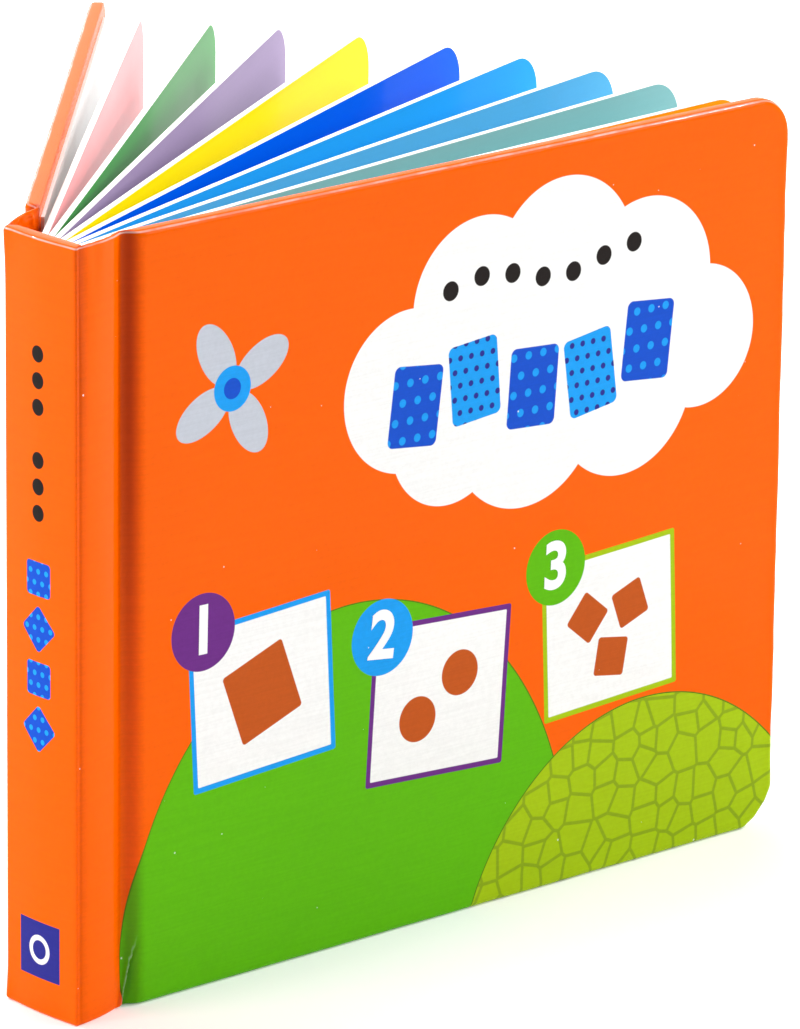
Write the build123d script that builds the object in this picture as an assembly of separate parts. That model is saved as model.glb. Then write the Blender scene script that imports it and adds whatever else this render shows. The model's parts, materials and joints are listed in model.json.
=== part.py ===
from build123d import *
import math
import os

# A padded board book standing on its tail with its covers and leaves fanned open.
# Plan view while building: the spine panel lies on the Y axis from (0, 0) to (0, spine_width),
# the front cover runs off along +X, and every piece stands on Z = 0. At the end the whole book
# is moved so that its origin is the middle of the foot of its bounding box.

# ---- driving sizes, millimetres and degrees ------------------------------------------------
# covers
cover_height = 178.0
cover_length = 193.5
cover_corner_radius = 9.4
hinge_corner_radius = 1.5
board_thickness = 1.7
padding_thickness = 1.2
wrap_thickness = 0.3
turn_in = 12.0
padded_edge_round = 1.4
board_edge_round = 0.2

# pastedowns, the first and last printed ply, glued on the inside of the covers
pastedown_square = 3.6
pastedown_hinge_margin = 3.0

# spine and its two shoulder strips
spine_bow = 0.8
spine_board_thickness = 1.6
spine_board_margin = 1.3
strip_thickness = 0.8
strip_length = 13.8
strip_bulge = 0.5
spine_corner_round = 0.6

# grooves, where the covers hinge
groove_depth = 2.6
groove_run = 2.67
groove_dip = 31.0
hinge_lip = 2.4
hinge_gap = 0.5

# page block
leaf_count = 9
leaf_thickness = 1.45
leaf_length = 206.5
leaf_square = 3.0
leaf_corner_radius = 9.4
block_gutter = 3.0
block_front_margin = 5.4
block_back_margin = 5.45

# how far the book is open as it stands, measured from the +X direction
front_cover_angle = -2.24
back_cover_angle = 45.0
front_strip_angle = 11.0
back_strip_angle = 28.0
leaf_angles = (1.1, 6.4, 11.3, 16.9, 22.3, 28.5, 34.0, 38.5, 43.1)

# ---- sizes that follow ----------------------------------------------------------------------
ply_thickness = leaf_thickness / 2
block_thickness = leaf_count * leaf_thickness
spine_width = block_front_margin + block_thickness + block_back_margin
cover_thickness = board_thickness + padding_thickness + 2 * wrap_thickness
padding_edge_round = min(padded_edge_round - wrap_thickness, 0.85 * padding_thickness)
panel_thickness = strip_thickness + spine_board_thickness + wrap_thickness
hinge_radius = strip_thickness / 2
bow_steps = 5
FRONT = 1
BACK = -1


# ---- plan geometry --------------------------------------------------------------------------
def heading(angle):
    """Unit plan vector at this angle from +X."""
    return Vector(math.cos(math.radians(angle)), math.sin(math.radians(angle)))


def inward(angle, side):
    """Unit plan vector square to that heading, towards the pages."""
    return heading(angle + 90 * side)


def spine_corner(side):
    """Outer plan corner of the spine panel on that side."""
    return Vector(0, 0) if side == FRONT else Vector(0, spine_width)


def strip_angle(side):
    return front_strip_angle if side == FRONT else back_strip_angle


def cover_angle(side):
    return front_cover_angle if side == FRONT else back_cover_angle


def strip_end(side):
    """Outer plan point where the shoulder strip dips into the groove."""
    return spine_corner(side) + heading(strip_angle(side)) * strip_length


def strip_crown(side):
    """Outer plan point at the middle of the slightly bulged strip."""
    middle = (spine_corner(side) + strip_end(side)) * 0.5
    return middle - inward(strip_angle(side), side) * strip_bulge


def dip_angle(side):
    """Heading of the sheet as it dips from the strip to the floor of the groove."""
    return cover_angle(side) + groove_dip * side


def hinge_axis(side):
    """Plan point that the cover turns about, in the middle of the sheet at the groove's floor."""
    along = strip_end(side) + heading(dip_angle(side)) * groove_run
    return along + inward(dip_angle(side), side) * hinge_radius


def strip_lip_end(side):
    """Outer plan point where the spine's sheet stops, one running gap short of the cover's lip."""
    reach = groove_run - hinge_radius - hinge_gap
    return strip_end(side) + heading(dip_angle(side)) * reach


def cover_origin(side):
    """Outer plan corner of the cover beside the groove."""
    along = hinge_axis(side) + heading(cover_angle(side)) * hinge_lip
    return along - inward(cover_angle(side), side) * (groove_depth + hinge_radius)


def bowed_panel():
    """Outer plan points of the spine panel between its corners, swelling by spine_bow."""
    steps = [(i + 1) / (bow_steps + 1) for i in range(bow_steps)]
    return [Vector(-spine_bow * math.sin(math.pi * t), spine_width * t) for t in steps]


def offset_line(points, distance):
    """The same polyline moved to its right by this distance, with mitred corners."""
    moved = []
    for i, point in enumerate(points):
        before = (point - points[i - 1]).normalized() if i > 0 else None
        after = (points[i + 1] - point).normalized() if i < len(points) - 1 else None
        first = before or after
        second = after or before
        normal = Vector(first.Y + second.Y, -first.X - second.X).normalized()
        along = normal.dot(Vector(first.Y, -first.X))
        moved.append(point + normal * (distance / along))
    return moved


# ---- shapes ---------------------------------------------------------------------------------
def block(low, high):
    """Box between two opposite corners."""
    size = [b - a for a, b in zip(low, high)]
    return Pos(*low) * Box(*size, align=(Align.MIN, Align.MIN, Align.MIN))


def plate(low, high, hinge_radius_mm, fore_radius_mm, outer_round=0.0):
    """Upright plate across Y, with rounded corners and its outer (low Y) edge softened."""
    body = block(low, high)
    fore = body.edges().filter_by(Axis.Y).sort_by(Axis.X)[-2:]
    body = fillet(fore, fore_radius_mm)
    if hinge_radius_mm > 0:
        near = body.edges().filter_by(Axis.Y).sort_by(Axis.X)[:2]
        body = fillet(near, hinge_radius_mm)
    if outer_round > 0:
        rim = body.faces().sort_by(Axis.Y)[0].edges()
        body = fillet(rim, outer_round)
    return body


def place_cover(piece, side):
    """Move a piece from the cover's own frame (X to the fore edge, Y inward) to its place."""
    if side == BACK:
        piece = mirror(piece, about=Plane.XZ)
    corner = cover_origin(side)
    return Pos(corner.X, corner.Y, 0) * Rot(0, 0, cover_angle(side)) * piece


# ---- cover pieces, each in the cover's own frame --------------------------------------------
def cover_padding():
    """Thin foam sheet on the outside of the board, with softly rounded edges."""
    inset = wrap_thickness
    low = (inset, wrap_thickness, inset)
    high = (cover_length - inset, wrap_thickness + padding_thickness, cover_height - inset)
    fore = cover_corner_radius - inset
    return plate(low, high, hinge_corner_radius - inset, fore, padding_edge_round)


def cover_board():
    """Stiff grey board under the padding."""
    inset = wrap_thickness
    low = (inset, wrap_thickness + padding_thickness, inset)
    high = (cover_length - inset, cover_thickness - wrap_thickness, cover_height - inset)
    return plate(low, high, hinge_corner_radius - inset, cover_corner_radius - inset)


def inner_window(border):
    """The bare inside of the board, left open by the turned-in wrap."""
    low = (border, cover_thickness - wrap_thickness, turn_in)
    high = (cover_length - turn_in, cover_thickness, cover_height - turn_in)
    return block(low, high)


def cover_wrap():
    """Printed skin over board and padding, turned in on three edges, with the hinge lip."""
    outer = plate((0, 0, 0), (cover_length, cover_thickness, cover_height),
                  hinge_corner_radius, cover_corner_radius, padded_edge_round)
    inner_rim = outer.faces().sort_by(Axis.Y)[-1].edges()
    outer = fillet(inner_rim, board_edge_round)
    skin = outer - cover_padding() - cover_board() - inner_window(wrap_thickness)
    foot = hinge_corner_radius
    head = cover_height - hinge_corner_radius
    floor = groove_depth
    lip = block((-hinge_lip, floor, foot), (wrap_thickness, floor + strip_thickness, head))
    roll = Cylinder(hinge_radius, head - foot, align=(Align.CENTER, Align.CENTER, Align.MIN))
    return skin + lip + Pos(-hinge_lip, floor + hinge_radius, foot) * roll


def cover_pastedown():
    """End ply glued inside the cover: it overlaps the turn-ins and beds on the board."""
    square = pastedown_square
    low = (pastedown_hinge_margin, cover_thickness, square)
    high = (cover_length - square, cover_thickness + ply_thickness, cover_height - square)
    sheet = plate(low, high, 0, cover_corner_radius - square)
    return sheet + inner_window(pastedown_hinge_margin)


# ---- spine pieces ---------------------------------------------------------------------------
def spine_wrap():
    """Printed sheet over the spine, both shoulder strips and half of each groove."""
    front = [strip_lip_end(FRONT), strip_end(FRONT), strip_crown(FRONT), spine_corner(FRONT)]
    back = [spine_corner(BACK), strip_crown(BACK), strip_end(BACK), strip_lip_end(BACK)]
    inner = offset_line(front + back, strip_thickness)
    outline = Polyline(*front, *bowed_panel(), *back, *reversed(inner), close=True)
    sheet = extrude(make_face(outline), cover_height, dir=(0, 0, 1))
    uprights = sheet.edges().filter_by(Axis.Z)
    folds = [e for side in (FRONT, BACK) for e in uprights
             if (Vector(e.center().X, e.center().Y) - spine_corner(side)).length < 0.01]
    sheet = fillet(folds, spine_corner_round)
    near = spine_board_margin
    far = spine_width - spine_board_margin
    back = strip_thickness + spine_board_thickness
    for foot, top in ((0, turn_in), (cover_height, cover_height - turn_in)):
        low, high = sorted((foot, foot + math.copysign(wrap_thickness, top - foot)))
        sheet += block((strip_thickness / 2, near, low), (panel_thickness, far, high))
        low, high = sorted((foot, top))
        sheet += block((back, near, low), (panel_thickness, far, high))
    return sheet


def spine_board():
    """Narrow stiff board behind the spine panel."""
    low = (strip_thickness, spine_board_margin, wrap_thickness)
    back = strip_thickness + spine_board_thickness
    return block(low, (back, spine_width - spine_board_margin, cover_height - wrap_thickness))


def leaf(number):
    """One leaf, counted from the front: an upright board with its fore corners rounded."""
    root = block_front_margin + number * leaf_thickness
    low = (-block_gutter / 2, 0, leaf_square)
    high = (leaf_length, leaf_thickness, cover_height - leaf_square)
    board = plate(low, high, 0, leaf_corner_radius)
    start = panel_thickness + block_gutter
    return Pos(start, root, 0) * Rot(0, 0, leaf_angles[number]) * board


def page_block():
    """All the leaves, joined along the gutter."""
    low = (panel_thickness, block_front_margin, leaf_square)
    far = block_front_margin + block_thickness
    pages = block(low, (panel_thickness + block_gutter, far, cover_height - leaf_square))
    for number in range(leaf_count):
        pages += leaf(number)
    return pages


# ---- the book -------------------------------------------------------------------------------
def build_book():
    """Every piece in its place, by node name."""
    book = {
        "spine_wrap": spine_wrap(),
        "spine_board": spine_board(),
        "page_block": page_block(),
    }
    for name, side in (("front", FRONT), ("back", BACK)):
        book[name + "_wrap"] = place_cover(cover_wrap(), side)
        book[name + "_padding"] = place_cover(cover_padding(), side)
        book[name + "_board"] = place_cover(cover_board(), side)
        book[name + "_pastedown"] = place_cover(cover_pastedown(), side)
    return book


def middle_of_foot(book):
    """Plan middle of the whole book's bounding box."""
    boxes = [piece.bounding_box() for piece in book.values()]
    low_x = min(box.min.X for box in boxes)
    high_x = max(box.max.X for box in boxes)
    low_y = min(box.min.Y for box in boxes)
    high_y = max(box.max.Y for box in boxes)
    return Vector((low_x + high_x) / 2, (low_y + high_y) / 2)


def main():
    os.makedirs("parts", exist_ok=True)
    book = build_book()
    centre = middle_of_foot(book)
    for name, piece in book.items():
        export_step(Pos(-centre.X, -centre.Y, 0) * piece, f"parts/{name}.step")
    print("book origin in plan:", round(centre.X, 4), round(centre.Y, 4))
    for name, side in (("front", FRONT), ("back", BACK)):
        axis = hinge_axis(side) - centre
        print(name, "hinge axis:", round(axis.X, 4), round(axis.Y, 4))


main()
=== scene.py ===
"""Looks of a padded board book that stands open like a fan: case skin, leaves, end plies and print."""
import json
import math

import bmesh
import bpy
import numpy as np
from mathutils import Matrix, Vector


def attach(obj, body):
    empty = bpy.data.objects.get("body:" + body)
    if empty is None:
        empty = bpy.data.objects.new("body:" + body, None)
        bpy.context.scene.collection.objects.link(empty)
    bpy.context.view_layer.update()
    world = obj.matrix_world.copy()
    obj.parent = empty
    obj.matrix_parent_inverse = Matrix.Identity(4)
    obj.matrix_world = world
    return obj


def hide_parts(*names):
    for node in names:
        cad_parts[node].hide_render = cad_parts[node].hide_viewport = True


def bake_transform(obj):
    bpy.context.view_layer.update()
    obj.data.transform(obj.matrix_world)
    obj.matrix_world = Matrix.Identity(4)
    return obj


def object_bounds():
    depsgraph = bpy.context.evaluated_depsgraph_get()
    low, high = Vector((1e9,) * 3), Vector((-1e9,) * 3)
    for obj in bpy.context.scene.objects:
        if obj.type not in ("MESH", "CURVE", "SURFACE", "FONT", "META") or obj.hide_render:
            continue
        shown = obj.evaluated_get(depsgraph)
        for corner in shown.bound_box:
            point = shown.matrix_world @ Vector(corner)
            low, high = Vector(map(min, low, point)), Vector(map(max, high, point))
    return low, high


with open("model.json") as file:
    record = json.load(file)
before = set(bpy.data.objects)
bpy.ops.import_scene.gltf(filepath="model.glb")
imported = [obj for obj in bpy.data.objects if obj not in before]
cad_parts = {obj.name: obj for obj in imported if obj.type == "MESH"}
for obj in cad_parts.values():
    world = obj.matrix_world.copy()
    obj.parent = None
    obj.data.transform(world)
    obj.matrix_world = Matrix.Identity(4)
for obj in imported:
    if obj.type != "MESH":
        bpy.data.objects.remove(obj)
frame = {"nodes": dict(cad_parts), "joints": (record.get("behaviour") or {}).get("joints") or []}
CAD_BOX = [list(corner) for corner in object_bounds()]

# ---- sizes, millimetres and degrees
MM = 0.001
SIDES = {"front": 1, "back": -1}
HEIGHT = CAD_BOX[1][2] / MM
COVER_ANGLE = {"front": -2.24, "back": 45.0}
COVER_LENGTH = 193.5
COVER_THICKNESS = 3.5
COVER_CORNER = 9.4
COVER_EDGE_REACH = 1.7
TURN_IN = 12.0
STRIP_ANGLE = {"front": 11.0, "back": 28.0}
STRIP_LENGTH = 13.8
STRIP_THICKNESS = 0.8
STRIP_BULGE = 0.5
PANEL_THICKNESS = 2.7
SPINE_BOW = 0.8
BOARD_MARGIN = 1.3
GROOVE_DEPTH = 2.6
GROOVE_RUN = 2.67
GROOVE_DIP = 31.0
HINGE_LIP = 2.4
LEAF_ANGLES = (1.1, 6.4, 11.3, 16.9, 22.3, 28.5, 34.0, 38.5, 43.1)
LEAF_THICKNESS = 1.45
LEAF_LENGTH = 206.5
LEAF_SQUARE = 3.0
LEAF_CORNER = 9.4
LEAF_EDGE_REACH = 0.3
LEAF_EDGE_ROUND = 0.14
LEAF_CURL = 0.35
GUTTER = 3.0
GUTTER_LAP = 0.6
GUTTER_GAP = 0.02
BLOCK_FRONT_MARGIN = 5.4
UV_SCALE = 0.01

# Relief of the case skin, millimetres.
WRAP_EDGE_ROUND = 0.6
PADDED_EDGE_ROUND = 0.8
INNER_EDGE_ROUND = 0.2
PADDED_INNER_ROUND = 0.25
PADDING_WANDER = 0.05
EDGE_HOLLOW = 0.10
FOLD_CREASE = 0.32
HEAD_SINK = 0.55
HEAD_DENT = 0.35
PLEAT_RIDGE = 0.8
PLEAT_HOLLOW = 0.7
PLEAT_START = 4.9
PLEAT_SLANT = 0.34
GROOVE_FILL = 0.9
FOLD_FLARE = {"front": 0.2, "back": 0.5}
DRAWN_WAVES = 0.05
FORE_EDGE_DRAW = 0.22

# ---- inks, as printed (sRGB)
INKS = {
    "orange": "fb6200", "white": "f6f6f4", "green": "5fb80c", "moss": "4e7a12", "lime": "a6c412",
    "olive": "7f9a1c", "blue": "1650c8", "sky": "1c9cee", "navy": "2c2f8c", "purple": "6c2f84",
    "grey": "c3c8d2", "black": "221c1a", "rust": "c0561c", "pink": "ee9a9c", "leaf green": "3f9a48",
    "lavender": "a492b4", "yellow": "eada0a", "royal": "0064dc", "azure": "2aa6e4",
    "pale azure": "5eb4dc", "teal": "8cc0c2", "amber": "f39a08", "greyboard": "8f887e",
    "cut board": "fbfaf6", "lining": "e9e6df",
}
# Painted shade: tint multiplied into the ink where the groove, the spine fold and the pleat fall in
# shade.
PAINTED_SHADE_TINT = (0.5, 0.38, 0.34, 1)
SPECK_COLOUR = (0.95, 0.93, 0.9, 1)
PAPER_WHITE = (1, 1, 1, 1)


def ink(name):
    """Linear colour of a printing ink: p / 12.92 for the darkest values of p, and otherwise
    ((p + 0.055) / 1.055) to the power 2.4."""
    value = INKS[name]
    parts = [int(value[i:i + 2], 16) / 255 for i in (0, 2, 4)]
    linear = [p / 12.92 if p <= 0.04045 else ((p + 0.055) / 1.055) ** 2.4 for p in parts]
    return (*linear, 1.0)


# ---- plan geometry
def heading(angle):
    """Unit plan vector at an angle from +X."""
    return np.array([math.cos(math.radians(angle)), math.sin(math.radians(angle))])


def inward(angle, side):
    """Unit plan vector square to a heading, towards the pages."""
    return heading(angle + 90 * SIDES[side])


def joint_point(side):
    """Plan point of a cover's hinge, from the frame."""
    name = side + "_cover_hinge"
    joint = next(j for j in frame["joints"] if j["name"] == name)
    return np.array(joint["pos_m"][:2]) / MM


def dip_angle(side):
    """Heading of the groove's slope, from the shoulder strip down to the hinge."""
    return COVER_ANGLE[side] + GROOVE_DIP * SIDES[side]


def strip_end(side):
    """Outer plan point where the shoulder strip dips into the groove."""
    dip = dip_angle(side)
    return joint_point(side) - inward(dip, side) * STRIP_THICKNESS / 2 - heading(dip) * GROOVE_RUN


def spine_corner(side):
    """Outer plan point where the spine panel folds into the shoulder strip."""
    return strip_end(side) - heading(STRIP_ANGLE[side]) * STRIP_LENGTH


def cover_point(side, along, depth):
    """Plan point on a cover: along it from the groove, and down from its outer face."""
    angle = COVER_ANGLE[side]
    base = joint_point(side) + heading(angle) * HINGE_LIP
    base = base - inward(angle, side) * (GROOVE_DEPTH + STRIP_THICKNESS / 2)
    return base + heading(angle) * along + inward(angle, side) * depth


def strip_point(side, along, depth):
    """Plan point on a shoulder strip: along it from the spine, and down from its outer face."""
    angle = STRIP_ANGLE[side]
    return spine_corner(side) + heading(angle) * along + inward(angle, side) * depth


SPINE_X = spine_corner("front")[0]
SPINE_Y = (spine_corner("front")[1], spine_corner("back")[1])
SPINE_WIDTH = SPINE_Y[1] - SPINE_Y[0]
SPINE_MIDDLE = sum(SPINE_Y) / 2
FOLD = SPINE_WIDTH / 2


def panel_point(side, from_middle, depth):
    """Plan point on the spine panel: out from its middle, and down from its outer face, which
    bows out by SPINE_BOW times the cosine of a quarter turn times the share of the half width."""
    share = 2 * from_middle / SPINE_WIDTH
    bow = SPINE_BOW * math.cos(math.pi / 2 * share)
    x = SPINE_X - bow if depth == 0 else SPINE_X + depth
    return np.array([x, SPINE_MIDDLE - SIDES[side] * from_middle])


# ---- numbers that vary along an edge
def ripple(x, wave, seed):
    """Smooth uneven wave from -1 to 1: three sines of unrelated lengths, shifted by the seed."""
    x = np.asarray(x, float)
    total = np.sin(2 * math.pi * x / wave + 1.7 * seed)
    total = total + 0.6 * np.sin(2 * math.pi * x / (wave * 0.618) + 2.9 * seed)
    total = total + 0.4 * np.sin(2 * math.pi * x / (wave * 0.271) + 4.3 * seed)
    return total / 2


def ease(x, start, end):
    """Smooth step from 0 at start to 1 at end: t squared times (3 - 2 t)."""
    t = np.clip((np.asarray(x, float) - start) / (end - start), 0, 1)
    return t * t * (3 - 2 * t)


def bell(x, centre, width):
    """Smooth bump of height 1: e to the power minus the square of the distance in widths."""
    return np.exp(-((np.asarray(x, float) - centre) / width) ** 2)


def graded(*runs):
    """Sorted numbers from several (start, end, step) runs."""
    parts = [np.linspace(a, b, max(2, int(round((b - a) / step)) + 1)) for a, b, step in runs]
    return np.unique(np.round(np.concatenate(parts), 5))


def rim_steps(reach, count):
    """Distances from an edge, closer together near it, as a quarter turn gives them."""
    return reach * (1 - np.cos(np.linspace(0, math.pi / 2, count)))


def edge_steps(radius, reach, near, turn, spare):
    """Distances from an edge over a rounded corner: close ones within the reach of its rounding,
    then radius times (1 - sine), the even steps of the corner's arc, less the last few."""
    arc = radius - radius * np.sin(np.linspace(0, math.pi / 2, turn))[1:-spare]
    return np.concatenate([rim_steps(reach, near), arc])


def grid_lines(*parts):
    """Sorted grid lines from several lists, each line once."""
    return np.unique(np.round(np.concatenate(parts), 4))


def smooth_line(stations, sigma, step=0.1):
    """Plan line through (distance, point) stations, rounded by a moving Gaussian average."""
    distance = np.array([s[0] for s in stations])
    points = np.array([s[1] for s in stations])
    t = np.arange(0, distance[-1] + step / 2, step)
    line = np.stack([np.interp(t, distance, points[:, i]) for i in (0, 1)], 1)
    reach = int(4 * sigma / step)
    kernel = np.exp(-0.5 * (np.arange(-reach, reach + 1) * step / sigma) ** 2)
    kernel /= kernel.sum()
    head = 2 * line[0] - line[1:reach + 1][::-1]
    tail = 2 * line[-1] - line[-reach - 1:-1][::-1]
    padded = np.concatenate([head, line, tail])
    smooth = np.stack([np.convolve(padded[:, i], kernel, mode="valid") for i in (0, 1)], 1)
    return t, smooth


def along_line(line, t):
    """Points of a sampled plan line at the distances t, of any shape."""
    return np.stack([np.interp(t, line[0], line[1][:, i]) for i in (0, 1)], -1)


# ---- rounded shells
def warp_corners(t, z, length, height, radius, facets=None):
    """Push a square grid into a plate with two rounded fore corners, and give each point's
    distance to the plate's edge. In each corner block the square (p, q) becomes the quarter disc
    (p sqrt(1 - q^2 / 2), q sqrt(1 - p^2 / 2)); facets, a corner outline, replaces the foot's arc."""
    out_t, out_z = t.copy(), z.copy()
    rim = np.minimum(np.minimum(z, height - z), length - t)
    for foot in (True, False):
        level = z if foot else height - z
        corner = (t > length - radius) & (level < radius)
        p = (t[corner] - (length - radius)) / radius
        q = (radius - level[corner]) / radius
        x = p * np.sqrt(1 - q * q / 2)
        y = q * np.sqrt(1 - p * p / 2)
        rho = np.hypot(x, y)
        rim[corner] = radius * (1 - rho)
        if foot and facets is not None:
            stretch = 1 + (facets(np.arctan2(y, x)) - 1) * ease(rho, 0.55, 1.0)
            x = x * stretch
            y = y * stretch
        out_t[corner] = length - radius + radius * x
        out_z[corner] = radius - radius * y if foot else height - radius + radius * y
    return out_t, out_z, np.maximum(rim, 0)


PLEATED_OUTLINE = ((1.0, 0.0), (0.985, 0.08), (0.80, 0.42), (0.42, 0.80), (0.08, 0.985), (0.0, 1.0))


def pleated_corner(angle):
    """Reach of a corner outline folded into three flats, as a share of its radius: where the ray
    at each angle crosses the flat a to b, (a x b) / (ray x (b - a)), with x the plane's cross product."""
    outline = np.array(PLEATED_OUTLINE)
    bearing = np.arctan2(outline[:, 1], outline[:, 0])
    reach = np.ones_like(angle)
    for i in range(len(outline) - 1):
        a, b = outline[i], outline[i + 1]
        here = (angle >= bearing[i] - 1e-9) & (angle <= bearing[i + 1] + 1e-9)
        across = np.cos(angle) * (b - a)[1] - np.sin(angle) * (b - a)[0]
        reach[here] = ((a[0] * b[1] - a[1] * b[0]) / across)[here]
    return reach


def round_over(distance, radius):
    """How far a surface has dropped at this distance from its edge, on a quarter round:
    radius - sqrt(radius^2 - (radius - distance)^2), and nothing past the radius."""
    inside = np.clip(radius - distance, 0, None)
    return radius - np.sqrt(np.clip(radius ** 2 - inside ** 2, 0, None))


def shell(name, outer, inner, columns, rows, radius, rounds,
          facets=None, relief=None, lining=None, wave=None):
    """Closed plate between two matched plan lines. Its outer and inner sheets are one grid of
    (distance along, height); each drops by a quarter round at head, foot and fore edge, and
    relief(t, z, rim) moves the outer sheet and lining(t, z) the inner one further in (+) or out (-),
    and wave(z) draws the fore edge back, all in millimetres."""
    length = columns[-1]
    height = rows[-1] - rows[0]
    t, z = np.meshgrid(columns, rows - rows[0], indexing="ij")
    t, z, rim = warp_corners(t, z, length, height, radius, facets)
    if wave is not None:
        t = t - wave(z) * ease(t, length - 7, length)
    near = along_line(outer, t)
    far = along_line(inner, t)
    thick = np.linalg.norm(far - near, axis=-1)
    outer_round, inner_round = (r(t) if callable(r) else np.full_like(t, r) for r in rounds)
    drop = round_over(rim, outer_round)
    if relief is not None:
        drop = drop + relief(t, z, rim)
    rise = round_over(rim, inner_round)
    if lining is not None:
        rise = rise + lining(t, z)
    sheets = []
    for share in (drop / thick, 1 - rise / thick):
        plan = near + (far - near) * share[..., None]
        sheets.append(np.concatenate([plan, (z + rows[0])[..., None]], -1).reshape(-1, 3))
    offset = t.size
    index = np.arange(offset).reshape(t.shape)
    quads = np.stack([index[:-1, :-1], index[1:, :-1], index[1:, 1:], index[:-1, 1:]], -1)
    quads = quads.reshape(-1, 4)
    loop = np.concatenate([index[:-1, 0], index[-1, :-1], index[:0:-1, -1], index[0, :0:-1]])
    after = np.roll(loop, -1)
    wall = np.stack([after, loop, loop + offset, after + offset], -1)
    faces = np.concatenate([quads, quads[:, ::-1] + offset, wall])
    mesh = bpy.data.meshes.new(name)
    mesh.from_pydata((np.concatenate(sheets) * MM).tolist(), [], faces.tolist())
    put_attribute(mesh, "inside", np.repeat([0.0, 1.0], offset))
    put_attribute(mesh, "rim", np.tile(rim.ravel(), 2))
    flat = np.stack([t.ravel(), (z + rows[0]).ravel()], -1) * UV_SCALE
    put_uv(mesh, "unrolled", np.tile(flat, (2, 1)))
    return finish_mesh(name, mesh)


def put_attribute(mesh, name, values):
    """One number for each vertex."""
    layer = mesh.attributes.new(name, "FLOAT", "POINT")
    layer.data.foreach_set("value", np.asarray(values, np.float32))


def put_uv(mesh, name, flat):
    """UV map from one flat position for each vertex."""
    layer = mesh.uv_layers.new(name=name)
    corner = np.empty(len(mesh.loops), np.int32)
    mesh.loops.foreach_get("vertex_index", corner)
    layer.data.foreach_set("uv", flat[corner].astype(np.float32).ravel())


def add_object(name, data):
    """New object in the scene."""
    piece = bpy.data.objects.new(name, data)
    bpy.context.scene.collection.objects.link(piece)
    return piece


def finish_mesh(name, mesh, crease=50):
    """Outward normals, smooth shading with sharp folds, and an object at the origin."""
    work = bmesh.new()
    work.from_mesh(mesh)
    bmesh.ops.recalc_face_normals(work, faces=work.faces)
    work.to_mesh(mesh)
    work.free()
    mesh.polygons.foreach_set("use_smooth", np.ones(len(mesh.polygons), bool))
    mesh.set_sharp_from_angle(angle=math.radians(crease))
    return add_object(name, mesh)


# ---- node helpers
class Nodes:
    """Short ways to add and join the nodes of one tree."""

    def __init__(self, tree):
        self.tree = tree
        self.column = 0

    def add(self, kind, **settings):
        """New node, set to the right of the last one."""
        node = self.tree.nodes.new(kind)
        node.location = (self.column * 40, 0)
        self.column += 1
        for key, value in settings.items():
            setattr(node, key, value)
        return node

    def put(self, socket, value):
        """Link an output to a socket, or set the socket to a plain value."""
        if isinstance(value, bpy.types.NodeSocket):
            self.tree.links.new(value, socket)
        elif value is not None:
            socket.default_value = value

    def math(self, operation, a, b=None, c=None, clamp=False):
        node = self.add("ShaderNodeMath", operation=operation, use_clamp=clamp)
        for socket, value in zip(node.inputs, (a, b, c)):
            self.put(socket, value)
        return node.outputs[0]

    def distance(self, x, y):
        """Square root of x squared plus y squared."""
        return self.math("SQRT", self.math("ADD", self.math("POWER", x, 2.0), self.math("POWER", y, 2.0)))

    def cut(self, inside, sharpness=8.0):
        """Mask with a slightly soft edge where the value inside passes zero."""
        return self.math("MULTIPLY_ADD", inside, sharpness, 0.5, clamp=True)

    def mix(self, factor, a, b, blend="MIX"):
        """Colour a turned into colour b by the factor."""
        node = self.add("ShaderNodeMix", data_type="RGBA", blend_type=blend)
        self.put(node.inputs["Factor"], factor)
        self.put(node.inputs[6], a)
        self.put(node.inputs[7], b)
        return node.outputs[2]

    def group(self, tree, **values):
        """A node group with its own values."""
        node = self.add("ShaderNodeGroup")
        node.node_tree = tree
        for key, value in values.items():
            self.put(node.inputs[key], value)
        return node

    def noise(self, vector, scale, detail=2.0, roughness=0.5):
        node = self.add("ShaderNodeTexNoise")
        self.put(node.inputs["Vector"], vector)
        self.put(node.inputs["Scale"], scale)
        self.put(node.inputs["Detail"], detail)
        self.put(node.inputs["Roughness"], roughness)
        return node.outputs["Fac"]

    def band(self, value, low, high, to_low=0.0, to_high=1.0):
        """Smooth step of a value from low to high."""
        node = self.add("ShaderNodeMapRange", interpolation_type="SMOOTHSTEP")
        for key, number in (("Value", value), ("From Min", low), ("From Max", high),
                            ("To Min", to_low), ("To Max", to_high)):
            self.put(node.inputs[key], number)
        return node.outputs["Result"]

    def attribute(self, name):
        return self.add("ShaderNodeAttribute", attribute_name=name).outputs["Fac"]

    def object_place(self):
        return self.add("ShaderNodeTexCoord").outputs["Object"]

    def unrolled(self):
        return self.add("ShaderNodeUVMap", uv_map="unrolled").outputs[0]


def new_material(name):
    """New material, its nodes and its shader's sockets."""
    material = bpy.data.materials.new(name)
    material.use_nodes = True
    shader = material.node_tree.nodes["Principled BSDF"].inputs
    return material, Nodes(material.node_tree), shader


def raise_grain(n, shader, height, strength, distance):
    """Fine relief on a material, from a height."""
    relief = n.add("ShaderNodeBump")
    relief.inputs["Strength"].default_value = strength
    relief.inputs["Distance"].default_value = distance
    n.put(relief.inputs["Height"], height)
    n.put(shader["Normal"], relief.outputs[0])


def new_group(name, inputs, outputs):
    """Empty shader node group; inputs are plain numbers, or (kind, default), by name."""
    tree = bpy.data.node_groups.new(name, "ShaderNodeTree")
    for label, value in inputs.items():
        kind, default = value if isinstance(value, tuple) else ("Float", value)
        socket = tree.interface.new_socket(label, in_out="INPUT", socket_type="NodeSocket" + kind)
        socket.default_value = default
    for label, kind in outputs.items():
        tree.interface.new_socket(label, in_out="OUTPUT", socket_type="NodeSocket" + kind)
    nodes = Nodes(tree)
    source = nodes.add("NodeGroupInput").outputs
    target = nodes.add("NodeGroupOutput").inputs
    return tree, nodes, source, target


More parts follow.
